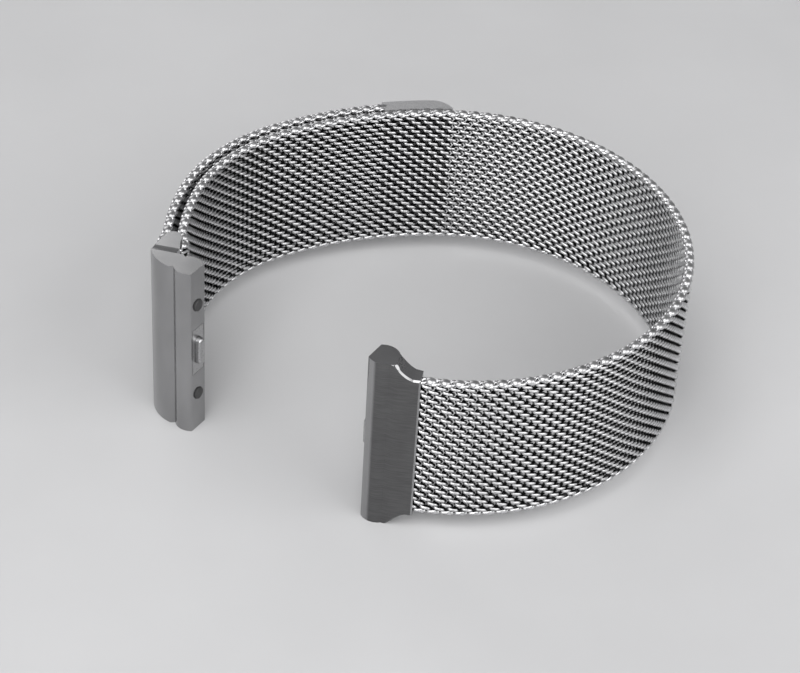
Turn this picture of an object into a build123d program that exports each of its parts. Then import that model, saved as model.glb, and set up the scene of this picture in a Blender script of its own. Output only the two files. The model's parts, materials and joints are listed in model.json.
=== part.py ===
from build123d import *
import math
import os

# A woven steel watch strap standing on its edge, closed into a loop. The strap's width runs along Z.
# The plan lines are drawn round the centre of the loop's round side, and the finished pieces are
# moved at the end so that the origin is the middle of the underside of the whole band.

# Woven strap
mesh_width = 20.6
mesh_thickness = 1.3
spiral_pitch = 0.8
rib_depth = 0.15
opening_length = 1.0
opening_height = 1.5
opening_pitch = 1.6
opening_row_pitch = 2.0
opening_wall = 0.3
opening_edge = 0.8
link_clearance = 0.08
layer_gap = 0.6

# Plan line of the inner layer, from the fixed lug round the back to the slot lug
loop_radius = 29.3
fixed_lug_angle = -98.0
back_panel_angle = 88.5
round_side_end_angle = 93.3
back_radius = 45.0
back_turn_angle = 30.5
corner_radius = 23.5
corner_turn_angle = 42.6
side_radius = 40.0
side_turn_angle = 13.8
back_panel_length = 11.0
right_panel_count = 15
left_panel_count = 6

# Bar of the slot lug, and the fold of mesh round it
bar_radius = 0.7
bar_clearance = 0.1
fold_leg_angle = 12.0

# Lugs: the rail slides into the watch, the body carries the strap
rail_length = 25.0
rail_thickness = 3.5
rail_depth = 2.8
rail_face_width = 2.8
rail_neck_width = 2.4
rail_neck_length = 0.5
watch_angle = 149.3
lug_body_length = 2.9
lug_wall = 0.4
lug_face_bevel = 0.2
lug_lip = 0.35
lug_root_outer = 1.15
lug_root_inner = 1.5
flare_start = 0.9
flare_sag = 0.35
groove_depth = 1.3
groove_clearance = 0.05
end_pin_radius = 0.3
end_pin_clearance = 0.03
end_pin_seat = 0.2
slot_clearance = 0.15
slot_lug_angle = 258.0
slot_lug_straight = 0.8
slot_lug_bend_radius = 3.7
slot_ear_radius = 1.1
slot_ear_gap = 0.2
slot_ear_thickness = 0.5
slot_body_width = 3.2

# Spring latch in the watch side of each rail
latch_head_length = 4.0
latch_head_width = 1.2
latch_reach = 0.8
latch_flange_length = 5.2
latch_flange_width = 1.7
latch_flange_height = 0.5
keeper_length = 6.9
keeper_width = 2.2
keeper_thickness = 0.4
latch_clearance = 0.06
spring_space = 1.5
spring_radius = 0.62
spring_wire_radius = 0.12
spring_turns = 3.5
pad_radius = 0.8
pad_seat = 0.5
pad_reach = 0.25
pad_spacing = 14.0

# Magnetic clasp
clasp_length = 9.2
clasp_thickness = 2.3
clasp_wall = 0.6
clasp_gap = 0.12
clasp_tip_thickness = 0.6
clasp_tip_length = 2.4
clasp_tip_rise = 0.35
clasp_tip_radius = 0.27
clasp_base_thickness = 0.4
clasp_mouth_overlap = 0.1
clasp_mouth_slack = 0.15
clasp_ear_radius = 0.6
clasp_ear_relief = 0.25
clasp_fit = 0.05
clasp_bevel = 0.25
magnet_count = 4
clasp_pin_radius = 0.3
clasp_pin_clearance = 0.03

# Cuts run this far past the metal that they open
overrun = 1.0

half_mesh = mesh_thickness / 2
valley = half_mesh - rib_depth
layer_pitch = mesh_thickness + layer_gap
mesh_bottom = (rail_length - mesh_width) / 2
mesh_top = mesh_bottom + mesh_width
middle_height = rail_length / 2
hollow_radius = half_mesh + link_clearance
nose_reach = math.sqrt(half_mesh**2 - valley**2)
hollow_reach = math.sqrt(hollow_radius**2 - valley**2)
fold_radius = bar_radius + bar_clearance + half_mesh


def direction(angle):
    """Unit plan vector at an angle in degrees."""
    return math.cos(math.radians(angle)), math.sin(math.radians(angle))


def arc_run(radius, turn):
    """A run of a course: its length and how far it turns to the left, in degrees."""
    return radius * math.radians(abs(turn)), turn


def course_length(course):
    return sum(length for length, turn in course["runs"])


def heading_at(course, along):
    """Heading in degrees after a distance along a course."""
    heading = course["heading"]
    for length, turn in course["runs"]:
        share = min(max(along / length, 0.0), 1.0)
        heading += turn * share
        along -= length
        if along <= 0:
            break
    return heading


def on_course(course, along, side=0.0):
    """Plan point after a distance along a course, moved to its left by side."""
    x, y = course["start"]
    heading = course["heading"]
    last = len(course["runs"]) - 1
    for index, (length, turn) in enumerate(course["runs"]):
        step = along if index == last else min(along, length)
        bend = turn * step / length
        chord = step
        if turn != 0.0:
            radius = length / math.radians(turn)
            chord = 2 * radius * math.sin(math.radians(bend) / 2)
        dx, dy = direction(heading + bend / 2)
        x += chord * dx
        y += chord * dy
        heading += bend
        along -= step
        if along <= 0:
            break
    dx, dy = direction(heading + 90)
    return x + side * dx, y + side * dy


def beside(point, heading, along, side):
    """Plan point in the frame of another point and heading."""
    ahead = direction(heading)
    left = direction(heading + 90)
    return point[0] + along * ahead[0] + side * left[0], point[1] + along * ahead[1] + side * left[1]


def rib_points(course, first, last, count, side):
    """Start, crest and end of each rib on one face of a panel, from first to last."""
    outer = math.copysign(half_mesh, side)
    inner = math.copysign(valley, side)
    step = (last - first) / count
    points = []
    for index in range(count):
        a = first + step * index
        start = on_course(course, a, inner)
        crest = on_course(course, a + step / 2, outer)
        end = on_course(course, a + step, inner)
        points.append((start, crest, end))
    return points


def rib_count(length):
    return max(round(abs(length) / spiral_pitch), 2)


def panel_outline(course, first, last, hollow_start=True, round_end=True):
    """Draws one panel's plan outline inside a BuildLine: ribbed faces, a hollow at its start that
    turns on the last panel's nose, and a round nose at its end."""
    start_in = hollow_reach if hollow_start else 0.0
    end_in = nose_reach if round_end else 0.0
    a = first + start_in
    b = last - end_in
    count = rib_count(last - first) - int(hollow_start or round_end)
    left = rib_points(course, a, b, count, half_mesh)
    right = rib_points(course, b, a, count, -half_mesh)
    for start, crest, end in left:
        ThreePointArc(start, crest, end)
    if round_end:
        nose = beside(on_course(course, last), heading_at(course, last), half_mesh, 0.0)
        ThreePointArc(left[-1][2], nose, right[0][0])
    else:
        Line(left[-1][2], right[0][0])
    for start, crest, end in right:
        ThreePointArc(start, crest, end)
    if hollow_start:
        hollow = beside(on_course(course, first), heading_at(course, first), hollow_radius, 0.0)
        ThreePointArc(right[-1][2], hollow, left[0][0])
    else:
        Line(right[-1][2], left[0][0])


def upright(point, heading):
    """Plane that stands on the plan line through a point: its X runs along the heading, its Y is +Z
    and its normal points to the right of the heading."""
    ahead = direction(heading)
    return Plane(
        origin=(point[0], point[1], middle_height),
        x_dir=(ahead[0], ahead[1], 0),
        z_dir=(ahead[1], -ahead[0], 0),
    )


def cut_openings(course, first, last):
    """Cuts a panel's grid of openings square through it, clear of its ends and edges."""
    spare_length = last - first - 2 * (hollow_radius + opening_wall) - opening_length
    spare_height = mesh_width - 2 * opening_edge - opening_height
    columns = 1 + int(spare_length / opening_pitch)
    rows = 1 + int(spare_height / opening_row_pitch)
    middle = (first + last) / 2
    reach = half_mesh + overrun
    face = upright(on_course(course, middle), heading_at(course, middle)).offset(-reach)
    with BuildSketch(face) as openings:
        with GridLocations(opening_pitch, opening_row_pitch, columns, rows):
            Rectangle(opening_length, opening_height)
    extrude(openings.sketch, amount=2 * reach, mode=Mode.SUBTRACT)


# Plan courses. The right course runs clockwise from the back panel to the fixed lug, and the left
# course runs on from the back panel's other end to the fold.
right_start = tuple(loop_radius * v for v in direction(back_panel_angle))
right_course = {
    "start": right_start,
    "heading": back_panel_angle - 90,
    "runs": [arc_run(loop_radius, fixed_lug_angle - back_panel_angle)],
}
inner_course = {
    "start": right_start,
    "heading": back_panel_angle + 90,
    "runs": [
        arc_run(loop_radius, round_side_end_angle - back_panel_angle),
        arc_run(back_radius, back_turn_angle),
        arc_run(corner_radius, corner_turn_angle),
        arc_run(side_radius, side_turn_angle),
    ],
}
right_panel = course_length(right_course) / right_panel_count
left_panel = (course_length(inner_course) - back_panel_length) / left_panel_count
left_marks = [back_panel_length + left_panel * i for i in range(left_panel_count + 1)]

# The fold leaves the inner layer at its last mark, goes round the bar and comes back to the flap's
# first mark, one layer pitch further out. Its legs lean outwards so that it clears the bar.
fold_start = on_course(inner_course, left_marks[-1])
fold_heading = heading_at(inner_course, left_marks[-1])
leg_spread = fold_radius * math.cos(math.radians(fold_leg_angle)) - layer_pitch / 2
fold_leg = leg_spread / math.sin(math.radians(fold_leg_angle))
bar_drop = fold_radius * math.sin(math.radians(fold_leg_angle)) + fold_leg * math.cos(
    math.radians(fold_leg_angle)
)
bar_centre = beside(fold_start, fold_heading, bar_drop, -layer_pitch / 2)
fold_course = {
    "start": fold_start,
    "heading": fold_heading + fold_leg_angle,
    "runs": [
        (fold_leg, 0.0),
        arc_run(fold_radius, -180 - 2 * fold_leg_angle),
        (fold_leg, 0.0),
    ],
}
fold_end = course_length(fold_course)

# The flap runs back over the inner layer, with its marks on the same radial lines.
flap_start = on_course(inner_course, left_marks[-1], -layer_pitch)
flap_course = {
    "start": flap_start,
    "heading": fold_heading + 180,
    "runs": [
        arc_run(side_radius + layer_pitch, -side_turn_angle),
        arc_run(corner_radius + layer_pitch, -corner_turn_angle),
        arc_run(back_radius + layer_pitch, -back_turn_angle),
        arc_run(loop_radius + layer_pitch, back_panel_angle - round_side_end_angle),
    ],
}


def flap_distance(mark):
    """Distance along the flap's course of the radial line through a mark on the inner layer."""
    inner_runs = list(reversed(inner_course["runs"]))
    flap_runs = flap_course["runs"]
    left = course_length(inner_course) - mark
    total = 0.0
    for (inner, _), (outer, _) in zip(inner_runs, flap_runs):
        part = min(left, inner)
        total += outer * part / inner
        left -= part
        if left <= 0:
            break
    return total


flap_marks = [flap_distance(mark) for mark in reversed(left_marks)]

pieces = {}


def finish(builder, label):
    """Names a finished piece and keeps it for writing."""
    builder.part.label = label
    pieces[label] = builder.part


# Back panel under the clasp, with a nose at each end, so that both chains of panels turn on it
with BuildPart() as mesh_back:
    with BuildSketch(Plane.XY.offset(mesh_bottom)):
        with BuildLine():
            back_first = nose_reach
            back_last = back_panel_length - nose_reach
            back_count = rib_count(back_panel_length) - 1
            back_left = rib_points(inner_course, back_first, back_last, back_count, half_mesh)
            back_right = rib_points(inner_course, back_last, back_first, back_count, -half_mesh)
            for rib_start, rib_crest, rib_end in back_left:
                ThreePointArc(rib_start, rib_crest, rib_end)
            left_nose = beside(
                on_course(inner_course, back_panel_length),
                heading_at(inner_course, back_panel_length),
                half_mesh,
                0.0,
            )
            ThreePointArc(back_left[-1][2], left_nose, back_right[0][0])
            for rib_start, rib_crest, rib_end in back_right:
                ThreePointArc(rib_start, rib_crest, rib_end)
            right_nose = beside(right_start, back_panel_angle - 90, half_mesh, 0.0)
            ThreePointArc(back_right[-1][2], right_nose, back_left[0][0])
        make_face()
    extrude(amount=mesh_width)
    cut_openings(inner_course, 0.0, back_panel_length)
finish(mesh_back, "mesh_back")

# Right side, from the back panel to the fixed lug: panels of one shape, each turned on from the last.
# The end panel runs into the lug's groove, where a pin goes through it.
with BuildPart() as right_mesh:
    with BuildSketch(Plane.XY.offset(mesh_bottom)):
        with BuildLine():
            panel_outline(right_course, 0.0, right_panel)
        make_face()
    extrude(amount=mesh_width)
    cut_openings(right_course, 0.0, right_panel)
right_panel_turn = (fixed_lug_angle - back_panel_angle) / right_panel_count
for number in range(1, right_panel_count):
    with BuildPart() as turned_mesh:
        add(right_mesh.part, rotation=(0, 0, right_panel_turn * (number - 1)))
    finish(turned_mesh, f"mesh_right_{number:02d}")

end_pin_setback = groove_depth / 2
lug_point = on_course(right_course, course_length(right_course))
lug_heading = heading_at(right_course, course_length(right_course))
end_pin_point = beside(lug_point, lug_heading, end_pin_setback, 0.0)
tail_end = groove_depth - groove_clearance
panel_start = right_panel * (right_panel_count - 1)
with BuildPart() as last_right_mesh:
    with BuildSketch(Plane.XY.offset(mesh_bottom)):
        with BuildLine():
            panel_outline(right_course, panel_start, course_length(right_course), round_end=False)
        make_face()
        with BuildLine():
            Polyline(
                beside(lug_point, lug_heading, 0.0, valley),
                beside(lug_point, lug_heading, tail_end, valley),
                beside(lug_point, lug_heading, tail_end, -valley),
                beside(lug_point, lug_heading, 0.0, -valley),
                close=True,
            )
        make_face()
    extrude(amount=mesh_width)
    with BuildSketch(Plane.XY.offset(mesh_bottom)):
        with Locations(end_pin_point):
            Circle(end_pin_radius + end_pin_clearance)
    extrude(amount=mesh_width, mode=Mode.SUBTRACT)
    cut_openings(right_course, panel_start, course_length(right_course))
finish(last_right_mesh, f"mesh_right_{right_panel_count:02d}")

# Left side, from the back panel to the fold
for number in range(1, left_panel_count + 1):
    with BuildPart() as left_mesh:
        with BuildSketch(Plane.XY.offset(mesh_bottom)):
            with BuildLine():
                panel_outline(inner_course, left_marks[number - 1], left_marks[number])
            make_face()
        extrude(amount=mesh_width)
        cut_openings(inner_course, left_marks[number - 1], left_marks[number])
    finish(left_mesh, f"mesh_left_{number}")

# Fold round the slot lug's bar
with BuildPart() as mesh_fold:
    with BuildSketch(Plane.XY.offset(mesh_bottom)):
        with BuildLine():
            panel_outline(fold_course, 0.0, fold_end)
        make_face()
    extrude(amount=mesh_width)
finish(mesh_fold, "mesh_fold")

# Flap, numbered so that each panel lies over the left panel of the same number
ear_notch = clasp_wall + clasp_fit
for number in range(left_panel_count, 0, -1):
    order = left_panel_count - number
    with BuildPart() as flap_mesh:
        with BuildSketch(Plane.XY.offset(mesh_bottom)):
            with BuildLine():
                panel_outline(flap_course, flap_marks[order], flap_marks[order + 1])
            make_face()
        extrude(amount=mesh_width)
        cut_openings(flap_course, flap_marks[order], flap_marks[order + 1])
        if number == 1:
            with BuildSketch(Plane.XY.offset(mesh_bottom)):
                with Locations(on_course(flap_course, flap_marks[-1])):
                    Circle(clasp_pin_radius + clasp_pin_clearance)
            extrude(amount=mesh_width, mode=Mode.SUBTRACT)
            # Notches for the clasp's ears
            with BuildSketch(Plane.XY.offset(mesh_bottom), Plane.XY.offset(mesh_top - ear_notch)):
                with Locations(on_course(flap_course, flap_marks[-1])):
                    Circle(clasp_ear_radius + clasp_ear_relief)
            extrude(amount=ear_notch, mode=Mode.SUBTRACT)
    finish(flap_mesh, f"mesh_flap_{number}")


def rail_outline(point, heading):
    """Outer and inner corners and the arcs of a rail that runs into the watch from point. Gives the
    points from the neck on the left side, round the rail, to the neck on the right side."""
    neck = rail_neck_width / 2
    full = rail_thickness / 2
    face = rail_face_width / 2
    far = rail_neck_length + rail_depth
    widest = rail_neck_length + rail_depth / 3
    return [
        beside(point, heading, rail_neck_length, neck),
        beside(point, heading, widest, full),
        beside(point, heading, far, face),
        beside(point, heading, far, -face),
        beside(point, heading, widest, -full),
        beside(point, heading, rail_neck_length, -neck),
    ]


def facing(point, heading, along):
    """Plane square to a heading, along it from a point: its Y is +Z and its normal is the heading."""
    spot = beside(point, heading, along, 0.0)
    ahead = direction(heading)
    return Plane(
        origin=(spot[0], spot[1], middle_height),
        x_dir=(-ahead[1], ahead[0], 0),
        z_dir=(ahead[0], ahead[1], 0),
    )


# Sizes of the latch's pocket, the same in both lugs
rail_far = rail_neck_length + rail_depth
pocket_length = latch_flange_length + 2 * latch_clearance
pocket_width = latch_flange_width + 2 * latch_clearance
pocket_depth = keeper_thickness + latch_flange_height + spring_space
keeper_recess_length = keeper_length + 2 * groove_clearance
keeper_recess_width = keeper_width + 2 * groove_clearance
window_length = latch_head_length + 2 * latch_clearance
window_width = latch_head_width + 2 * latch_clearance


def latch_pocket(seam, heading):
    """Cuts the latch's pocket, the keeper's recess and the pads' seats into the rail's flat face."""
    face = facing(seam, heading, rail_far)
    with BuildSketch(face) as recess:
        Rectangle(keeper_recess_width, keeper_recess_length)
    extrude(recess.sketch, amount=-keeper_thickness, mode=Mode.SUBTRACT)
    with BuildSketch(face) as pocket:
        Rectangle(pocket_width, pocket_length)
    extrude(pocket.sketch, amount=-pocket_depth, mode=Mode.SUBTRACT)
    with BuildSketch(face) as seats:
        with Locations((0, pad_spacing / 2), (0, -pad_spacing / 2)):
            Circle(pad_radius + groove_clearance)
    extrude(seats.sketch, amount=-pad_seat, mode=Mode.SUBTRACT)


def latch_set(seam, heading, name):
    """Latch, spring, keeper and pads of one lug."""
    face = facing(seam, heading, rail_far)
    flange_top = facing(seam, heading, rail_far - keeper_thickness)
    flange_base = facing(seam, heading, rail_far - keeper_thickness - latch_flange_height)
    pad_floor = facing(seam, heading, rail_far - pad_seat)
    with BuildPart() as latch:
        with BuildSketch(flange_base):
            Rectangle(latch_flange_width, latch_flange_length)
        extrude(amount=latch_flange_height - latch_clearance)
        with BuildSketch(flange_base):
            SlotOverall(latch_head_length, latch_head_width, rotation=90)
        extrude(amount=latch_flange_height + keeper_thickness + latch_reach)
        head_rim = latch.edges().group_by(Axis(face.origin, face.z_dir))[-1]
        fillet(head_rim, latch_head_width / 4)
    finish(latch, f"{name}_latch")
    with BuildPart() as keeper:
        with BuildSketch(flange_top):
            Rectangle(keeper_width, keeper_length)
            SlotOverall(window_length, window_width, rotation=90, mode=Mode.SUBTRACT)
        extrude(amount=keeper_thickness)
    finish(keeper, f"{name}_keeper")
    with BuildPart() as pads:
        with BuildSketch(pad_floor):
            with Locations((0, pad_spacing / 2), (0, -pad_spacing / 2)):
                Circle(pad_radius)
        extrude(amount=pad_seat + pad_reach)
        pad_rims = pads.edges().group_by(Axis(face.origin, face.z_dir))[-1]
        fillet(pad_rims, pad_reach / 2)
    finish(pads, f"{name}_pads")
    spring_rise = spring_space - 2 * spring_wire_radius - 2 * latch_clearance
    spring_floor = facing(seam, heading, rail_far - pocket_depth + spring_wire_radius + latch_clearance)
    with BuildPart() as spring:
        with BuildLine():
            coil = Helix(
                pitch=spring_rise / spring_turns,
                height=spring_rise,
                radius=spring_radius,
                center=spring_floor.origin,
                direction=spring_floor.z_dir,
            )
        with BuildSketch(Plane(origin=coil @ 0, z_dir=coil % 0)):
            Circle(spring_wire_radius)
        sweep()
    finish(spring, f"{name}_latch_spring")


# Fixed lug: its body carries on straight from the strap, and its rail turns into the watch
fixed_seam = beside(lug_point, lug_heading, lug_body_length, 0.0)
lug_end_half = half_mesh + lug_wall
lug_half_height = mesh_width / 2 + lug_lip
rail_half = rail_length / 2
fixed_rail = rail_outline(fixed_seam, watch_angle)
outward = direction(lug_heading + 90) + (0,)
ahead = direction(lug_heading) + (0,)
with BuildPart() as fixed_lug:
    with BuildSketch():
        with BuildLine():
            Line(
                beside(lug_point, lug_heading, 0.0, lug_end_half),
                beside(fixed_seam, lug_heading, 0.0, lug_root_outer),
            )
            Line(beside(fixed_seam, lug_heading, 0.0, lug_root_outer), fixed_rail[0])
            ThreePointArc(*fixed_rail[:3])
            Line(fixed_rail[2], fixed_rail[3])
            ThreePointArc(*fixed_rail[3:])
            Line(
                fixed_rail[5],
                beside(fixed_seam, lug_heading, -rail_neck_length, -lug_root_inner),
            )
            Line(
                beside(fixed_seam, lug_heading, -rail_neck_length, -lug_root_inner),
                beside(lug_point, lug_heading, 0.0, -lug_end_half),
            )
            Line(
                beside(lug_point, lug_heading, 0.0, -lug_end_half),
                beside(lug_point, lug_heading, 0.0, lug_end_half),
            )
        make_face()
    extrude(amount=rail_length)
    lug_far = lug_body_length + rail_far + overrun
    flare_mid = (flare_start + lug_body_length) / 2
    flare_rise = (rail_half + lug_half_height) / 2 - flare_sag
    with BuildSketch(upright(lug_point, lug_heading)):
        with BuildLine():
            Line((-overrun, -lug_half_height), (-overrun, lug_half_height))
            Line((-overrun, lug_half_height), (flare_start, lug_half_height))
            ThreePointArc(
                (flare_start, lug_half_height), (flare_mid, flare_rise), (lug_body_length, rail_half)
            )
            Line((lug_body_length, rail_half), (lug_far, rail_half))
            Line((lug_far, rail_half), (lug_far, -rail_half))
            Line((lug_far, -rail_half), (lug_body_length, -rail_half))
            ThreePointArc(
                (lug_body_length, -rail_half), (flare_mid, -flare_rise), (flare_start, -lug_half_height)
            )
            Line((flare_start, -lug_half_height), (-overrun, -lug_half_height))
        make_face()
    extrude(amount=lug_far, both=True, mode=Mode.INTERSECT)
    with BuildSketch(Plane.XY.offset(mesh_bottom - groove_clearance)):
        with BuildLine():
            Polyline(
                beside(lug_point, lug_heading, -overrun, half_mesh + groove_clearance),
                beside(lug_point, lug_heading, groove_depth, half_mesh + groove_clearance),
                beside(lug_point, lug_heading, groove_depth, -half_mesh - groove_clearance),
                beside(lug_point, lug_heading, -overrun, -half_mesh - groove_clearance),
                close=True,
            )
        make_face()
    extrude(amount=mesh_width + 2 * groove_clearance, mode=Mode.SUBTRACT)
    with BuildSketch(Plane.XY.offset(mesh_bottom - end_pin_seat)):
        with Locations(end_pin_point):
            Circle(end_pin_radius + end_pin_clearance)
    extrude(amount=mesh_width + 2 * end_pin_seat, mode=Mode.SUBTRACT)
    latch_pocket(fixed_seam, watch_angle)
    outer_side = fixed_lug.faces().sort_by(Axis(fixed_seam + (0,), outward))[-1]
    chamfer(outer_side.edges(), lug_face_bevel)
finish(fixed_lug, "fixed_lug")

with BuildPart() as fixed_lug_pin:
    with BuildSketch(Plane.XY.offset(mesh_bottom - end_pin_seat)):
        with Locations(end_pin_point):
            Circle(end_pin_radius)
    extrude(amount=mesh_width + 2 * end_pin_seat)
finish(fixed_lug_pin, "fixed_lug_pin")
latch_set(fixed_seam, watch_angle, "fixed_lug")

# Slot lug: two ears hold the bar beyond the strap's edges, and the body behind the slot bends
# towards the watch. It turns on the fold, so the slot's wall is round about the bar.
slot_radius = fold_radius + half_mesh + slot_clearance
slot_watch_angle = watch_angle + 180
slot_bend = slot_watch_angle - slot_lug_angle
slot_lug_course = {
    "start": bar_centre,
    "heading": slot_lug_angle,
    "runs": [
        (slot_radius + slot_lug_straight, 0.0),
        arc_run(slot_lug_bend_radius, slot_bend),
    ],
}
slot_seam_along = course_length(slot_lug_course)
slot_seam = on_course(slot_lug_course, slot_seam_along)
slot_rail = rail_outline(slot_seam, slot_watch_angle)
slot_straight = slot_radius + slot_lug_straight
slot_bend_middle = (slot_straight + slot_seam_along) / 2
slot_half = slot_body_width / 2
with BuildPart() as slot_lug:
    with BuildSketch():
        with BuildLine():
            Line(
                on_course(slot_lug_course, 0.0, slot_ear_radius),
                on_course(slot_lug_course, slot_radius, slot_half),
            )
            Line(
                on_course(slot_lug_course, slot_radius, slot_half),
                on_course(slot_lug_course, slot_straight, slot_half),
            )
            ThreePointArc(
                on_course(slot_lug_course, slot_straight, slot_half),
                on_course(slot_lug_course, slot_bend_middle, slot_half),
                on_course(slot_lug_course, slot_seam_along, slot_half),
            )
            Line(on_course(slot_lug_course, slot_seam_along, slot_half), slot_rail[0])
            ThreePointArc(*slot_rail[:3])
            Line(slot_rail[2], slot_rail[3])
            ThreePointArc(*slot_rail[3:])
            Line(slot_rail[5], on_course(slot_lug_course, slot_seam_along, -slot_half))
            ThreePointArc(
                on_course(slot_lug_course, slot_seam_along, -slot_half),
                on_course(slot_lug_course, slot_bend_middle, -slot_half),
                on_course(slot_lug_course, slot_straight, -slot_half),
            )
            Line(
                on_course(slot_lug_course, slot_straight, -slot_half),
                on_course(slot_lug_course, slot_radius, -slot_half),
            )
            Line(
                on_course(slot_lug_course, slot_radius, -slot_half),
                on_course(slot_lug_course, 0.0, -slot_ear_radius),
            )
            ThreePointArc(
                on_course(slot_lug_course, 0.0, -slot_ear_radius),
                beside(bar_centre, slot_lug_angle, -slot_ear_radius, 0.0),
                on_course(slot_lug_course, 0.0, slot_ear_radius),
            )
        make_face()
    extrude(amount=rail_length)
    slot_cut_bottom = mesh_bottom - slot_ear_gap
    slot_cut_height = mesh_width + 2 * slot_ear_gap
    ear_half_height = mesh_width / 2 + slot_ear_gap + slot_ear_thickness
    shoulder_end = slot_straight + slot_lug_bend_radius * math.sin(math.radians(slot_bend) / 2)
    shoulder_middle = (slot_radius + shoulder_end) / 2
    shoulder_rise = (rail_half + ear_half_height) / 2 - flare_sag
    with BuildSketch(upright(bar_centre, slot_lug_angle)):
        with BuildLine():
            slot_near = -slot_ear_radius - overrun
            slot_far = slot_seam_along + rail_far + overrun
            Line((slot_near, -ear_half_height), (slot_near, ear_half_height))
            Line((slot_near, ear_half_height), (slot_radius, ear_half_height))
            ThreePointArc(
                (slot_radius, ear_half_height),
                (shoulder_middle, shoulder_rise),
                (shoulder_end, rail_half),
            )
            Line((shoulder_end, rail_half), (slot_far, rail_half))
            Line((slot_far, rail_half), (slot_far, -rail_half))
            Line((slot_far, -rail_half), (shoulder_end, -rail_half))
            ThreePointArc(
                (shoulder_end, -rail_half),
                (shoulder_middle, -shoulder_rise),
                (slot_radius, -ear_half_height),
            )
            Line((slot_radius, -ear_half_height), (slot_near, -ear_half_height))
        make_face()
    extrude(amount=slot_far, both=True, mode=Mode.INTERSECT)
    with BuildSketch(Plane.XY.offset(slot_cut_bottom)):
        with Locations(bar_centre):
            Circle(slot_radius)
            Circle(bar_radius, mode=Mode.SUBTRACT)
    extrude(amount=slot_cut_height, mode=Mode.SUBTRACT)
    latch_pocket(slot_seam, slot_watch_angle)
finish(slot_lug, "slot_lug")
latch_set(slot_seam, slot_watch_angle, "slot_lug")

# Magnetic clasp: a shell that follows the back panel, with its base plate underneath, magnets in
# between and a pin through the last panel of the flap
clasp_hinge = on_course(flap_course, flap_marks[-1])
clasp_base_side = -half_mesh - clasp_gap
clasp_top_side = clasp_base_side - clasp_thickness
clasp_left = back_panel_length + clasp_mouth_overlap
clasp_right = clasp_left - clasp_length
tip_side = clasp_base_side - clasp_tip_thickness


def clasp_point(along, side):
    return on_course(inner_course, along, side)


def clasp_band(first, last, near_side, far_side, far_side_end=None, rise=0.0):
    """Outline of a curved strip over the back panel, inside a BuildLine."""
    end_side = far_side if far_side_end is None else far_side_end
    middle = (first + last) / 2
    ThreePointArc(
        clasp_point(first, near_side), clasp_point(middle, near_side), clasp_point(last, near_side)
    )
    Line(clasp_point(last, near_side), clasp_point(last, end_side))
    ThreePointArc(
        clasp_point(last, end_side),
        clasp_point(middle, (far_side + end_side) / 2 - rise),
        clasp_point(first, far_side),
    )
    Line(clasp_point(first, far_side), clasp_point(first, near_side))


taper_start = clasp_right + clasp_tip_length
mouth_radius = half_mesh + clasp_mouth_slack
mouth_heading = heading_at(flap_course, flap_marks[-1])
magnet_floor_side = clasp_base_side - clasp_base_thickness
magnet_top_side = clasp_top_side + clasp_wall
magnet_left = back_panel_length - mouth_radius - clasp_wall
magnet_height = (mesh_width - 2 * clasp_wall - (magnet_count + 1) * clasp_fit) / magnet_count
with BuildPart() as clasp_shell:
    with BuildSketch(Plane.XY.offset(mesh_bottom)):
        with BuildLine():
            clasp_band(taper_start, clasp_left, clasp_base_side, clasp_top_side)
        make_face()
        with BuildLine():
            clasp_band(
                taper_start, clasp_right, clasp_base_side, clasp_top_side, tip_side, clasp_tip_rise
            )
        make_face()
    extrude(amount=mesh_width)
    with BuildSketch(Plane.XY.offset(mesh_bottom)):
        with Locations(clasp_hinge):
            Circle(clasp_ear_radius)
    extrude(amount=mesh_width)
    clasp_uprights = clasp_shell.edges().filter_by(Axis.Z).group_by(Axis.X)[-1]
    fillet(clasp_uprights, clasp_tip_radius)
    outer_faces = clasp_shell.faces().filter_by(GeomType.CYLINDER).sort_by(Axis.Y)[-2:]
    outer_rims = [edge for face in outer_faces for edge in face.edges().filter_by(GeomType.CIRCLE)]
    chamfer(outer_rims, clasp_bevel)
    # Mouth for the flap's last panel
    with BuildSketch(Plane.XY.offset(mesh_bottom + clasp_wall)):
        with Locations(clasp_hinge):
            Circle(mouth_radius)
        with BuildLine():
            Polyline(
                beside(clasp_hinge, mouth_heading, 0.0, mouth_radius),
                beside(clasp_hinge, mouth_heading, 0.0, -mouth_radius),
                beside(clasp_hinge, mouth_heading, -overrun, -mouth_radius),
                beside(clasp_hinge, mouth_heading, -overrun, mouth_radius),
                close=True,
            )
        make_face()
    extrude(amount=mesh_width - 2 * clasp_wall, mode=Mode.SUBTRACT)
    # Well for the magnets, closed below by the base plate
    with BuildSketch(Plane.XY.offset(mesh_bottom + clasp_wall)):
        with BuildLine():
            clasp_band(
                taper_start, magnet_left, clasp_base_side + overrun, magnet_top_side
            )
        make_face()
    extrude(amount=mesh_width - 2 * clasp_wall, mode=Mode.SUBTRACT)
    with BuildSketch(Plane.XY.offset(mesh_bottom - overrun)):
        with Locations(clasp_hinge):
            Circle(clasp_pin_radius + clasp_pin_clearance)
    extrude(amount=mesh_width + 2 * overrun, mode=Mode.SUBTRACT)
finish(clasp_shell, "clasp_shell")

with BuildPart() as clasp_base:
    with BuildSketch(Plane.XY.offset(mesh_bottom + clasp_wall + clasp_fit)):
        with BuildLine():
            clasp_band(
                taper_start + clasp_fit, magnet_left - clasp_fit, clasp_base_side, magnet_floor_side
            )
        make_face()
    extrude(amount=mesh_width - 2 * clasp_wall - 2 * clasp_fit)
finish(clasp_base, "clasp_base")

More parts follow.
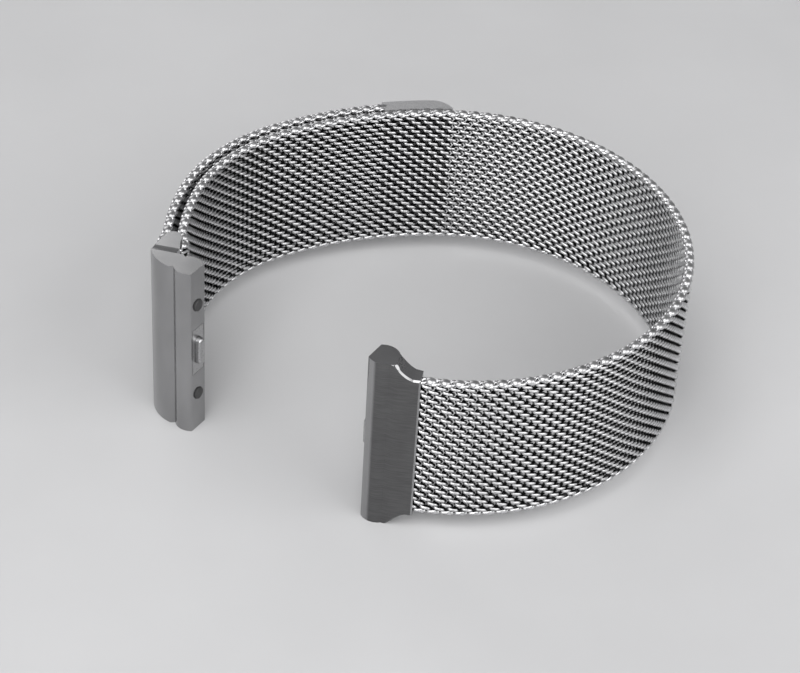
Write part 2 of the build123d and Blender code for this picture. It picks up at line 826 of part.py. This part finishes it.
with BuildPart() as clasp_magnets:
    for number in range(magnet_count):
        magnet_bottom = mesh_bottom + clasp_wall + clasp_fit + number * (magnet_height + clasp_fit)
        with BuildSketch(Plane.XY.offset(magnet_bottom)):
            with BuildLine():
                clasp_band(
                    taper_start + clasp_fit,
                    magnet_left - clasp_fit,
                    magnet_floor_side,
                    magnet_top_side + clasp_fit,
                )
            make_face()
        extrude(amount=magnet_height)
finish(clasp_magnets, "clasp_magnets")

with BuildPart() as clasp_pin:
    with BuildSketch(Plane.XY.offset(mesh_bottom)):
        with Locations(clasp_hinge):
            Circle(clasp_pin_radius)
    extrude(amount=mesh_width)
finish(clasp_pin, "clasp_pin")

# The band's own origin: the middle of the box round it, at its underside
boxes = [piece.bounding_box() for piece in pieces.values()]
low = [min(tuple(box.min)[axis] for box in boxes) for axis in range(3)]
high = [max(tuple(box.max)[axis] for box in boxes) for axis in range(3)]
shift = Location((-(low[0] + high[0]) / 2, -(low[1] + high[1]) / 2, -low[2]))

os.makedirs("parts", exist_ok=True)
for label, piece in pieces.items():
    piece.move(shift)
    export_step(piece, f"parts/{label}.step")
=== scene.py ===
import json
import math

import bmesh
import bpy
from mathutils import Matrix, Vector


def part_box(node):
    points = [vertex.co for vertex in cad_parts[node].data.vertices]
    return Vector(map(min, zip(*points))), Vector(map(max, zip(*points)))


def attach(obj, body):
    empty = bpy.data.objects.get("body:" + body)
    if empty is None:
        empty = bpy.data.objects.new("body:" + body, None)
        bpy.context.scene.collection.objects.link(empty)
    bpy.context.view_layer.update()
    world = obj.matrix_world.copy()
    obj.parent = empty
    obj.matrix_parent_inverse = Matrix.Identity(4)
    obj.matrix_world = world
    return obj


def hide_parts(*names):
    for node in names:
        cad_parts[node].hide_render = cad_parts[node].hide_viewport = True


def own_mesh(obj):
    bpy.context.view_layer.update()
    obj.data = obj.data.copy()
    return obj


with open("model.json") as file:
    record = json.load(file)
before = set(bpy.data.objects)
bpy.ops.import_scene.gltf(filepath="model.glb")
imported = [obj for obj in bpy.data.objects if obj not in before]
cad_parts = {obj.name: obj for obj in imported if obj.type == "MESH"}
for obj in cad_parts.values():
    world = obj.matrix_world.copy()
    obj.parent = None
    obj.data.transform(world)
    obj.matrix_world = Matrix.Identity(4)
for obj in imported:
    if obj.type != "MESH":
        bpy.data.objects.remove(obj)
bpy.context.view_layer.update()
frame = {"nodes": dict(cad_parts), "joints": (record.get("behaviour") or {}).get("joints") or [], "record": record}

# A band of woven steel mesh, closed into a loop and standing on its edge, with a lug at each end
# and a magnetic clasp at the back. Lengths are in metres and angles of the plan in degrees.

mm = 0.001
joints = {joint["name"]: joint for joint in frame["joints"]}
body_of_node = {
    node: body for body, nodes in frame["record"]["behaviour"]["bodies"].items() for node in nodes
}
steel = {}

# Plan line of the strap: radii and turns of the inner layer, as the panels' hinges lie
loop_radius = 29.3 * mm
loop_start_angle = -98.0
back_angle = 88.5
loop_end_turn = 4.8
back_radius, back_turn = 45.0 * mm, 30.5
corner_radius, corner_turn = 23.5 * mm, 42.6
side_radius, side_turn = 40.0 * mm, 13.8
layer_pitch = 1.9 * mm
fold_radius = 1.45 * mm
fold_lean = 12.0
right_panels, left_panels = 15, 6
back_panel_length = 11.0 * mm
groove_reach = 0.65 * mm

# The weave: one wire spiral turns 15 times from edge to edge, and runs level for a bit at both ends
mesh_low, mesh_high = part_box("mesh_back")[0].z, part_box("mesh_back")[1].z
mesh_half_thickness = 0.65 * mm
edge_overhang = 0.18 * mm
spiral_spacing = 0.848 * mm
spiral_half_width = 0.66 * mm
turns, level_turns = 15, 0.4
points_per_turn, wire_sides = 12, 6
wire_radius = 0.23 * mm
stroke_flattening = 0.065 * mm
bead_size = Vector((0.72, 0.60, 0.40)) * mm
bead_rise = 0.30 * mm
bead_segments, bead_rings = 12, 8


def direction(angle):
    """Unit plan vector at an angle."""
    return Vector((math.cos(math.radians(angle)), math.sin(math.radians(angle))))


def arc(radius, turn):
    """A run of the strap's line: its length, and how far it turns to the left."""
    return radius * math.radians(abs(turn)), turn


def line_length(runs):
    return sum(length for length, turn in runs)


right_run = arc(loop_radius, back_angle - loop_start_angle)
left_runs = [
    arc(loop_radius, loop_end_turn),
    arc(back_radius, back_turn),
    arc(corner_radius, corner_turn),
    arc(side_radius, side_turn),
]
fold_leg = (fold_radius * math.cos(math.radians(fold_lean)) - layer_pitch / 2) / math.sin(
    math.radians(fold_lean)
)
fold_runs = [
    (0.0, fold_lean),
    (fold_leg, 0.0),
    arc(fold_radius, -180.0 - 2 * fold_lean),
    (fold_leg, 0.0),
    (0.0, fold_lean),
]
flap_runs = [
    arc(side_radius + layer_pitch, -side_turn),
    arc(corner_radius + layer_pitch, -corner_turn),
    arc(back_radius + layer_pitch, -back_turn),
    arc(loop_radius + layer_pitch, -loop_end_turn),
]
strap_runs = [right_run] + left_runs + fold_runs + flap_runs
loop_centre = Vector(joints["back_flex"]["pos_m"][:2]) - loop_radius * direction(back_angle)
strap_start = loop_centre + loop_radius * direction(loop_start_angle)
strap_heading = loop_start_angle + 90


def strap_point(distance):
    """Plan point of the strap's line at a distance from the fixed lug's edge."""
    point, heading = strap_start.copy(), strap_heading
    if distance < 0:
        return point + distance * direction(heading)
    for length, turn in strap_runs:
        if length == 0.0:
            heading += turn
            continue
        step = min(distance, length)
        bend = turn * step / length
        chord = step
        if turn:
            chord = 2 * length / math.radians(turn) * math.sin(math.radians(bend) / 2)
        point += chord * direction(heading + bend / 2)
        heading += bend
        distance -= step
        if distance <= 0:
            break
    return point


def flap_distance(inner_distance):
    """Distance along the flap of the spot over a distance back along the inner layer."""
    total = 0.0
    for (inner, _), (outer, _) in zip(reversed(left_runs), flap_runs):
        part = min(inner_distance, inner)
        total += outer * part / inner
        inner_distance -= part
    return total


def new_material(name, metallic, roughness):
    """A material, its tree and its Principled node."""
    material = bpy.data.materials.new(name)
    material.use_nodes = True
    shader = material.node_tree.nodes["Principled BSDF"]
    shader.inputs["Metallic"].default_value = metallic
    shader.inputs["Roughness"].default_value = roughness
    return material, material.node_tree, shader


def add_node(tree, kind, inputs=None, **settings):
    """Adds a node: sockets among its inputs are linked, and other values are set."""
    node = tree.nodes.new(kind)
    for name, value in settings.items():
        setattr(node, name, value)
    for name, value in (inputs or {}).items():
        if isinstance(value, bpy.types.NodeSocket):
            tree.links.new(value, node.inputs[name])
        else:
            node.inputs[name].default_value = value
    return node


def calculate(tree, operation, first, second=0.0):
    """Output of a Math node."""
    return add_node(tree, "ShaderNodeMath", {0: first, 1: second}, operation=operation).outputs[0]


def vary(tree, low, high, factor):
    """A number that runs from low to high with a factor."""
    return add_node(
        tree, "ShaderNodeMapRange", {"Value": factor, "To Min": low, "To Max": high}
    ).outputs["Result"]


def stretched_noise(tree, angle, scales, detail=4.0):
    """Noise in the piece's own coordinates, turned by an angle in plan and stretched per axis.
    The scales are per metre."""
    place = add_node(tree, "ShaderNodeTexCoord")
    mapping = add_node(tree, "ShaderNodeMapping", {"Vector": place.outputs["Object"]})
    mapping.inputs["Rotation"].default_value = (0, 0, -math.radians(angle))
    mapping.inputs["Scale"].default_value = scales
    noise = add_node(
        tree, "ShaderNodeTexNoise", {"Vector": mapping.outputs[0], "Scale": 1.0, "Detail": detail}
    )
    return noise.outputs["Fac"]


def roughen(tree, shader, height, strength, distance):
    """Bump from a height."""
    bump = add_node(
        tree, "ShaderNodeBump", {"Height": height, "Strength": strength, "Distance": distance}
    )
    tree.links.new(bump.outputs["Normal"], shader.inputs["Normal"])


def grey_ramp(tree, factor, stops):
    """Colour ramp over greys, from pairs of position and grey."""
    ramp = add_node(tree, "ShaderNodeValToRGB", {"Fac": factor})
    elements = ramp.color_ramp.elements
    for index, (position, grey) in enumerate(stops):
        element = elements[index] if index < 2 else elements.new(position)
        element.position = position
        element.color = (grey, grey, grey * 1.01, 1)
    return ramp.outputs["Color"]


def wire_steel():
    """Polished wire: bright crowns, dull down between the strands and painted dark there as painted shade, faint
    drawing marks.
    """
    material, tree, shader = new_material("polished_wire", 1.0, 0.25)
    # Painted light level from the weave: near 1 on the outer faces and at the edges, low deep between the strands,
    # where the ramp paints shade
    painted_light_level = add_node(tree, "ShaderNodeAttribute", attribute_name="painted_light_level").outputs["Fac"]
    unevenness = 0.16
    patches = calculate(tree, "MULTIPLY", stretched_noise(tree, 0, (900, 900, 900)), unevenness)
    patches = calculate(tree, "SUBTRACT", patches, unevenness / 2)
    painted_shade_and_patches = calculate(tree, "ADD", painted_light_level, patches)
    # Colour ramp of painted shade: near black deep in the weave, up to the steel's grey on the crowns
    colour = grey_ramp(tree, painted_shade_and_patches, [(0.5, 0.015), (1.0, 0.78), (0.64, 0.12), (0.78, 0.66)])
    tree.links.new(colour, shader.inputs["Base Color"])
    deep_roughness, crown_roughness = 0.6, 0.25
    rough = vary(tree, deep_roughness, crown_roughness, painted_light_level)
    tree.links.new(rough, shader.inputs["Roughness"])
    marks = stretched_noise(tree, 0, (9000, 9000, 3000), 2.0)
    roughen(tree, shader, marks, 0.12, 0.02 * mm)
    return material


def brushed_steel(name, face_angle, brushed_grey, polished_grey):
    """Steel whose face towards an angle is brushed along the strap. The rest is polished."""
    material, tree, shader = new_material(name, 1.0, 0.3)
    normal = add_node(tree, "ShaderNodeTexCoord").outputs["Normal"]
    outward = direction(face_angle)
    facing = add_node(
        tree, "ShaderNodeVectorMath", {0: normal, 1: (outward.x, outward.y, 0)},
        operation="DOT_PRODUCT",
    ).outputs["Value"]
    brushed = add_node(
        tree, "ShaderNodeMapRange", {"Value": facing, "From Min": 0.86, "From Max": 0.94}
    ).outputs["Result"]
    streaks = stretched_noise(tree, face_angle + 90, (500, 500, 12000), 6.0)
    clouds = stretched_noise(tree, face_angle + 90, (250, 250, 120), 2.0)
    streak_share = 0.7
    streaked = calculate(tree, "MULTIPLY", streaks, streak_share)
    clouded = calculate(tree, "MULTIPLY", clouds, 1 - streak_share)
    mixed = calculate(tree, "ADD", streaked, clouded)
    brushed_stops = [(0.3, brushed_grey * 0.72), (0.7, brushed_grey * 1.15)]
    polished_stops = [(0.3, polished_grey * 0.9), (0.7, polished_grey * 1.1)]
    brushed_colour = grey_ramp(tree, mixed, brushed_stops)
    polished_colour = grey_ramp(tree, clouds, polished_stops)
    colour = add_node(tree, "ShaderNodeMix", data_type="RGBA")
    tree.links.new(brushed, colour.inputs["Factor"])
    tree.links.new(polished_colour, colour.inputs["A"])
    tree.links.new(brushed_colour, colour.inputs["B"])
    tree.links.new(colour.outputs["Result"], shader.inputs["Base Color"])
    polished_roughness, brushed_roughness = 0.2, 0.38
    rough = vary(tree, polished_roughness, brushed_roughness, brushed)
    tree.links.new(rough, shader.inputs["Roughness"])
    height = calculate(tree, "MULTIPLY", streaks, brushed)
    roughen(tree, shader, height, 0.25, 0.01 * mm)
    return material


def satin_steel(name, grey, roughness, grain):
    """Evenly ground steel with a fine grain."""
    material, tree, shader = new_material(name, 1.0, roughness)
    speckle = stretched_noise(tree, 0, (grain, grain, grain))
    colour = grey_ramp(tree, speckle, [(0.3, grey * 0.85), (0.7, grey * 1.1)])
    tree.links.new(colour, shader.inputs["Base Color"])
    rough = vary(tree, roughness * 0.85, roughness * 1.2, speckle)
    tree.links.new(rough, shader.inputs["Roughness"])
    roughen(tree, shader, speckle, 0.15, 0.01 * mm)
    return material


def pad_rubber():
    """Dark soft plastic of the small pads."""
    material, tree, shader = new_material("pad_rubber", 0.0, 0.6)
    speckle = stretched_noise(tree, 0, (4000, 4000, 4000))
    colour = grey_ramp(tree, speckle, [(0.3, 0.03), (0.7, 0.05)])
    tree.links.new(colour, shader.inputs["Base Color"])
    roughen(tree, shader, speckle, 0.2, 0.01 * mm)
    return material


def weave_tree():
    """Geometry Nodes tree: flattened wire spirals stand side by side along a line, each turned half
    round from the last so that it hooks into it, with beads of braze that join them in pairs at
    both edges."""
    tree = bpy.data.node_groups.new("woven_mesh", "GeometryNodeTree")
    tree.interface.new_socket("Mesh", in_out="OUTPUT", socket_type="NodeSocketGeometry")
    sockets = [
        ("Line", "Geometry"),
        ("Spirals", "Int"),
        ("First Turned", "Int"),
        ("Beads", "Int"),
        ("First Bead", "Int"),
        ("Turns", "Int"),
        ("Level Turns", "Float"),
        ("Points Per Turn", "Int"),
        ("Top", "Float"),
        ("Bottom", "Float"),
        ("Half Width", "Float"),
        ("Half Thickness", "Float"),
        ("Wire Radius", "Float"),
        ("Bead Size", "Vector"),
        ("Bead Rise", "Float"),
        ("Stroke Flattening", "Float"),
        ("Steel", "Material"),
    ]
    for name, kind in sockets:
        tree.interface.new_socket(name, in_out="INPUT", socket_type=f"NodeSocket{kind}")
    given = tree.nodes.new("NodeGroupInput").outputs
    line = add_node(tree, "GeometryNodeMeshToCurve", {"Mesh": given["Line"]}).outputs["Curve"]
    index = add_node(tree, "GeometryNodeInputIndex").outputs[0]

    def places(count, share, turned):
        """Points along the line at a share of its length, and the turn that faces them along it."""
        sample = add_node(
            tree, "GeometryNodeSampleCurve", {"Curves": line, "Factor": share}, mode="FACTOR"
        )
        points = add_node(
            tree, "GeometryNodePoints", {"Count": count, "Position": sample.outputs["Position"]}
        ).outputs[0]
        ahead = add_node(tree, "ShaderNodeSeparateXYZ", {0: sample.outputs["Tangent"]}).outputs
        heading = calculate(tree, "ARCTAN2", ahead["Y"], ahead["X"])
        heading = calculate(tree, "ADD", heading, calculate(tree, "MULTIPLY", turned, math.pi))
        turn = add_node(tree, "ShaderNodeCombineXYZ", {"Z": heading}).outputs[0]
        return points, turn

    def rounded(value, power):
        """A sine or cosine pressed towards a flatter oval, keeping its sign."""
        size = calculate(tree, "POWER", calculate(tree, "ABSOLUTE", value), power)
        return calculate(tree, "MULTIPLY", size, calculate(tree, "SIGN", value))

    # One spiral, level at the top edge from its left bend, then down and level at the bottom edge
    steps = calculate(tree, "MULTIPLY", given["Turns"], given["Points Per Turn"])
    straight = add_node(tree, "GeometryNodeCurvePrimitiveLine", {"End": (0, 0, 1)}).outputs[0]
    count = calculate(tree, "ADD", steps, 1)
    divided = add_node(
        tree, "GeometryNodeResampleCurve", {"Curve": straight, "Count": count}
    ).outputs[0]
    share = add_node(tree, "GeometryNodeSplineParameter").outputs["Factor"]
    turned_so_far = calculate(tree, "MULTIPLY", share, given["Turns"])
    angle = calculate(tree, "MULTIPLY", turned_so_far, 2 * math.pi)
    angle = calculate(tree, "ADD", angle, math.pi)
    width_power, thickness_power = 0.8, 0.7
    across = rounded(calculate(tree, "COSINE", angle), width_power)
    outward = rounded(calculate(tree, "SINE", angle), thickness_power)
    level = calculate(tree, "DIVIDE", given["Level Turns"], given["Turns"])
    inset = calculate(tree, "ADD", given["Wire Radius"], given["Bead Rise"])
    top = calculate(tree, "SUBTRACT", given["Top"], inset)
    bottom = calculate(tree, "ADD", given["Bottom"], inset)
    height = add_node(
        tree,
        "ShaderNodeMapRange",
        {
            "Value": share,
            "From Min": level,
            "From Max": calculate(tree, "SUBTRACT", 1.0, level),
            "To Min": top,
            "To Max": bottom,
        },
    ).outputs["Result"]
    # The wire drops more in its bends than on both faces, where it lies flatter
    wave = calculate(tree, "SINE", calculate(tree, "MULTIPLY", angle, 2.0))
    height = calculate(
        tree, "SUBTRACT", height, calculate(tree, "MULTIPLY", wave, given["Stroke Flattening"])
    )
    spot = add_node(
        tree,
        "ShaderNodeCombineXYZ",
        {
            "X": calculate(tree, "MULTIPLY", across, given["Half Width"]),
            "Y": calculate(tree, "MULTIPLY", outward, given["Half Thickness"]),
            "Z": height,
        },
    ).outputs[0]
    spiral = add_node(
        tree, "GeometryNodeSetPosition", {"Geometry": divided, "Position": spot}
    ).outputs[0]
    section = add_node(
        tree,
        "GeometryNodeCurvePrimitiveCircle",
        {"Resolution": wire_sides, "Radius": given["Wire Radius"]},
    ).outputs[0]
    wire = add_node(
        tree,
        "GeometryNodeCurveToMesh",
        {"Curve": spiral, "Profile Curve": section, "Fill Caps": True},
    ).outputs[0]
    # How far each spot of the wire lies out of the weave, kept as a painted light level: 1 on both faces,
    # and rising to a little over 1 at both edges, from a margin in wire radii inside them; the material
    # paints the wire darker, as painted shade, the deeper it lies
    edge_margin, edge_slope = 1.2, 0.5
    place = add_node(tree, "GeometryNodeInputPosition").outputs[0]
    place = add_node(tree, "ShaderNodeSeparateXYZ", {0: place}).outputs
    face = calculate(tree, "ADD", given["Half Thickness"], given["Wire Radius"])
    out_of_face = calculate(tree, "DIVIDE", calculate(tree, "ABSOLUTE", place["Y"]), face)
    middle = calculate(tree, "MULTIPLY", calculate(tree, "ADD", top, bottom), 0.5)
    from_middle = calculate(tree, "ABSOLUTE", calculate(tree, "SUBTRACT", place["Z"], middle))
    past_edge = calculate(tree, "SUBTRACT", from_middle, calculate(tree, "SUBTRACT", top, middle))
    past_margin = calculate(tree, "DIVIDE", past_edge, given["Wire Radius"])
    past_margin = calculate(tree, "ADD", past_margin, edge_margin)
    out_of_edge = calculate(tree, "MULTIPLY", past_margin, edge_slope)
    painted_light_level = calculate(tree, "MAXIMUM", out_of_face, out_of_edge)
    wire = add_node(
        tree,
        "GeometryNodeStoreNamedAttribute",
        {"Geometry": wire, "Name": "painted_light_level", "Value": painted_light_level},
        data_type="FLOAT",
        domain="POINT",
    ).outputs[0]
    turned = calculate(
        tree, "MODULO", calculate(tree, "ADD", index, given["First Turned"]), 2.0
    )
    centre = calculate(tree, "DIVIDE", calculate(tree, "ADD", index, 0.5), given["Spirals"])
    points, turn = places(given["Spirals"], centre, turned)
    spirals = add_node(
        tree, "GeometryNodeInstanceOnPoints", {"Points": points, "Instance": wire, "Rotation": turn}
    ).outputs[0]

    # Beads of braze where the ends of two spirals meet, with a painted highlight at the rim: a little duller and
    # painted darker on top than at the rim
    ball = add_node(
        tree,
        "GeometryNodeMeshUVSphere",
        {"Segments": bead_segments, "Rings": bead_rings, "Radius": 1.0},
    ).outputs["Mesh"]
    # Painted light of the beads: brightest round the rim as a painted highlight, a little darker towards top and
    # bottom
    painted_rim_light, painted_top_shade = 0.78, 0.05
    painted_top_darkening = calculate(tree, "MULTIPLY", calculate(tree, "ABSOLUTE", place["Z"]), painted_top_shade)
    painted_bead_light = calculate(tree, "SUBTRACT", painted_rim_light, painted_top_darkening)
    ball = add_node(
        tree,
        "GeometryNodeStoreNamedAttribute",
        {"Geometry": ball, "Name": "painted_light_level", "Value": painted_bead_light},
        data_type="FLOAT",
        domain="POINT",
    ).outputs[0]
    meeting = calculate(tree, "ADD", calculate(tree, "MULTIPLY", index, 2.0), given["First Bead"])
    meeting = calculate(tree, "DIVIDE", meeting, given["Spirals"])
    bead_points, bead_turn = places(given["Beads"], meeting, 0.0)
    bead_height = add_node(tree, "ShaderNodeSeparateXYZ", {0: given["Bead Size"]}).outputs["Z"]
    beads = []
    for edge, inward in (("Top", "SUBTRACT"), ("Bottom", "ADD")):
        bead_centre = calculate(tree, inward, given[edge], bead_height)
        lift = add_node(tree, "ShaderNodeCombineXYZ", {"Z": bead_centre}).outputs[0]
        raised = add_node(
            tree, "GeometryNodeSetPosition", {"Geometry": bead_points, "Offset": lift}
        ).outputs[0]
        beads.append(
            add_node(
                tree,
                "GeometryNodeInstanceOnPoints",
                {
                    "Points": raised,
                    "Instance": ball,
                    "Rotation": bead_turn,
                    "Scale": given["Bead Size"],
                },
            ).outputs[0]
        )
    joined = tree.nodes.new("GeometryNodeJoinGeometry")
    for part in [spirals] + beads:
        tree.links.new(part, joined.inputs[0])
    real = add_node(
        tree, "GeometryNodeRealizeInstances", {"Geometry": joined.outputs[0]}
    ).outputs[0]
    smooth = add_node(tree, "GeometryNodeSetShadeSmooth", {"Geometry": real}).outputs[0]
    dressed = add_node(
        tree, "GeometryNodeSetMaterial", {"Geometry": smooth, "Material": given["Steel"]}
    ).outputs[0]
    output = tree.nodes.new("NodeGroupOutput")
    tree.links.new(dressed, output.inputs["Mesh"])
    return tree


def set_inputs(modifier, values):
    """Sets a Geometry Nodes modifier's inputs by their names."""
    for item in modifier.node_group.interface.items_tree:
        if item.item_type == "SOCKET" and item.in_out == "INPUT" and item.name in values:
            modifier[item.identifier] = values[item.name]


def woven_panel(node, start, end, spirals, first_spiral):
    """The spirals between two distances along the strap, in place of the CAD panel of that name."""
    samples = 24
    points = [strap_point(start + (end - start) * step / samples) for step in range(samples + 1)]
    line = bpy.data.meshes.new(f"{node}_line")
    edges = [(step, step + 1) for step in range(samples)]
    line.from_pydata([(point.x, point.y, 0.0) for point in points], edges, [])
    panel = bpy.data.objects.new(f"weave_{node}", line)
    bpy.context.scene.collection.objects.link(panel)
    modifier = panel.modifiers.new("Weave", "NODES")
    modifier.node_group = weave
    first_turned = first_spiral % 2
    first_bead = 2 - first_turned
    set_inputs(
        modifier,
        {
            "Spirals": spirals,
            "First Turned": first_turned,
            "Beads": (spirals - first_bead) // 2 + 1,
            "First Bead": first_bead,
            "Turns": turns,
            "Level Turns": level_turns,
            "Points Per Turn": points_per_turn,
            "Top": mesh_high + edge_overhang,
            "Bottom": mesh_low - edge_overhang,
            "Half Width": spiral_half_width,
            "Half Thickness": mesh_half_thickness - wire_radius,
            "Wire Radius": wire_radius,
            "Bead Size": bead_size,
            "Bead Rise": bead_rise,
            "Stroke Flattening": stroke_flattening,
            "Steel": steel["mesh"],
        },
    )
    bpy.context.view_layer.update()
    depsgraph = bpy.context.evaluated_depsgraph_get()
    mesh = bpy.data.meshes.new_from_object(panel.evaluated_get(depsgraph), depsgraph=depsgraph)
    mesh.name = panel.name
    panel.modifiers.remove(modifier)
    panel.data = mesh
    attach(panel, body_of_node[node])
    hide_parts(node)


def weave_strap():
    """Evenly spaced spirals from the fixed lug to the clasp, each given to the panel it lies in."""
    left_length = line_length(left_runs) - back_panel_length
    panels = [
        (f"mesh_right_{number:02d}", right_run[0] / right_panels)
        for number in range(right_panels, 0, -1)
    ]
    panels.append(("mesh_back", back_panel_length))
    for number in range(1, left_panels + 1):
        panels.append((f"mesh_left_{number}", left_length / left_panels))
    panels.append(("mesh_fold", line_length(fold_runs)))
    marks = [flap_distance(left_length * number / left_panels) for number in range(left_panels + 1)]
    for number in range(left_panels, 0, -1):
        length = marks[left_panels - number + 1] - marks[left_panels - number]
        panels.append((f"mesh_flap_{number}", length))
    whole = groove_reach + sum(length for node, length in panels)
    spacing = whole / round(whole / spiral_spacing)
    end, first = 0.0, 0
    for node, length in panels:
        end += length
        last = round((end + groove_reach) / spacing)
        woven_panel(
            node, first * spacing - groove_reach, last * spacing - groove_reach, last - first, first
        )
        first = last


def dress_cad_nodes():
    """Finishes of the rigid pieces, by the record's material slots."""
    slots = {part["node"]: part["material_slot"] for part in frame["record"]["subparts"]}
    for name, piece in frame["nodes"].items():
        finish = "slot_lug" if name == "slot_lug" else slots[name]
        piece.data.materials.clear()
        piece.data.materials.append(steel[finish])


def wind_latch_spring(lug):
    """Coil of a lug's latch spring, merged into one smooth mesh that stays with the lug; the real spring shortens
    as the latch is pressed in.
    """
    node = f"{lug}_latch_spring"
    shape = bmesh.new()
    shape.from_mesh(frame["nodes"][node].data)
    bmesh.ops.remove_doubles(shape, verts=shape.verts, dist=0.001 * mm)
    for face in shape.faces:
        face.smooth = True
    mesh = bpy.data.meshes.new(f"{node}_coil")
    shape.to_mesh(mesh)
    shape.free()
    mesh.materials.append(steel["spring_steel"])
    coil = bpy.data.objects.new(mesh.name, mesh)
    bpy.context.scene.collection.objects.link(coil)
    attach(coil, lug)
    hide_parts(node)
    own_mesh(coil)


def lay_floor():
    """Pale studio floor."""
    size = 1.2
    mesh = bpy.data.meshes.new("floor")
    corners = [(-size, -size, 0), (size, -size, 0), (size, size, 0), (-size, size, 0)]
    mesh.from_pydata(corners, [], [(0, 1, 2, 3)])
    floor = bpy.data.objects.new("floor", mesh)
    bpy.context.scene.collection.objects.link(floor)
    material, tree, shader = new_material("floor_paint", 0.0, 0.9)
    clouds = stretched_noise(tree, 0, (30, 30, 30))
    colour = grey_ramp(tree, clouds, [(0.3, 0.53), (0.7, 0.56)])
    tree.links.new(colour, shader.inputs["Base Color"])
    mesh.materials.append(material)


def soft_light(name, place, target, size, watts):
    """Square area light at a place, facing a target."""
    light = bpy.data.lights.new(name, "AREA")
    light.size = size
    light.energy = watts
    lamp = bpy.data.objects.new(name, light)
    lamp.location = place
    lamp.rotation_euler = (Vector(target) - Vector(place)).to_track_quat("-Z", "Y").to_euler()
    bpy.context.scene.collection.objects.link(lamp)


def light_studio():
    """Soft boxes above, in front, to the right and low behind, and a dim even surround."""
    lamps = [
        # name, place, size, watts
        ("overhead_light", (-0.12, -0.24, 0.50), 0.50, 2.2),
        ("front_light", (-0.10, -0.62, 0.32), 0.44, 1.65),
        ("right_light", (0.49, -0.27, 0.34), 0.58, 2.2),
        ("back_light", (-0.32, 0.58, 0.30), 0.44, 1.1),
    ]
    middle = (0, 0, 0.012)
    for name, place, size, watts in lamps:
        soft_light(name, place, middle, size, watts)
    world = bpy.data.worlds.new("studio")
    world.use_nodes = True
    tree = world.node_tree
    background = tree.nodes["Background"]
    background.inputs["Color"].default_value = (0.9, 0.9, 0.92, 1)
    background.inputs["Strength"].default_value = 0.28
    bpy.context.scene.world = world


def place_camera():
    """Camera of the reference view: its place, downward pitch, small roll and small swing."""
    camera_data = bpy.data.cameras.new("camera")
    camera_data.sensor_width = 36.0
    camera_data.lens = 107.64
    camera_data.clip_start = 0.01
    camera = bpy.data.objects.new("camera", camera_data)
    place = Vector((-4.51, -248.516, 199.62)) * mm
    pitch, roll, swing = math.radians(38.007), math.radians(3.5), math.radians(-0.446)
    ahead = Vector((0, math.cos(pitch), -math.sin(pitch)))
    level = Vector((1, 0, 0))
    up = Vector((0, math.sin(pitch), math.cos(pitch)))
    side = math.cos(roll) * level + math.sin(roll) * up
    top = -math.sin(roll) * level + math.cos(roll) * up
    turn = Matrix((side, top, -ahead)).transposed().to_4x4()
    camera.matrix_world = Matrix.Translation(place) @ Matrix.Rotation(swing, 4, "Z") @ turn
    bpy.context.scene.collection.objects.link(camera)
    bpy.context.scene.camera = camera


place_camera()
steel["mesh"] = wire_steel()
steel["lug_steel"] = brushed_steel("brushed_lug_steel", loop_start_angle, 0.15, 0.35)
steel["slot_lug"] = brushed_steel("slot_lug_steel", 168.0, 0.18, 0.35)
steel["clasp_steel"] = satin_steel("satin_clasp_steel", 0.6, 0.5, 6000)
steel["latch_steel"] = satin_steel("ground_latch_steel", 0.45, 0.28, 4000)
steel["spring_steel"] = satin_steel("drawn_spring_steel", 0.4, 0.3, 8000)
steel["magnet"] = satin_steel("nickel_plate", 0.55, 0.2, 3000)
steel["pad"] = pad_rubber()
dress_cad_nodes()
weave = weave_tree()
weave_strap()
wind_latch_spring("fixed_lug")
wind_latch_spring("slot_lug")
lay_floor()
light_studio()

bpy.context.scene.view_settings.view_transform = "Standard"
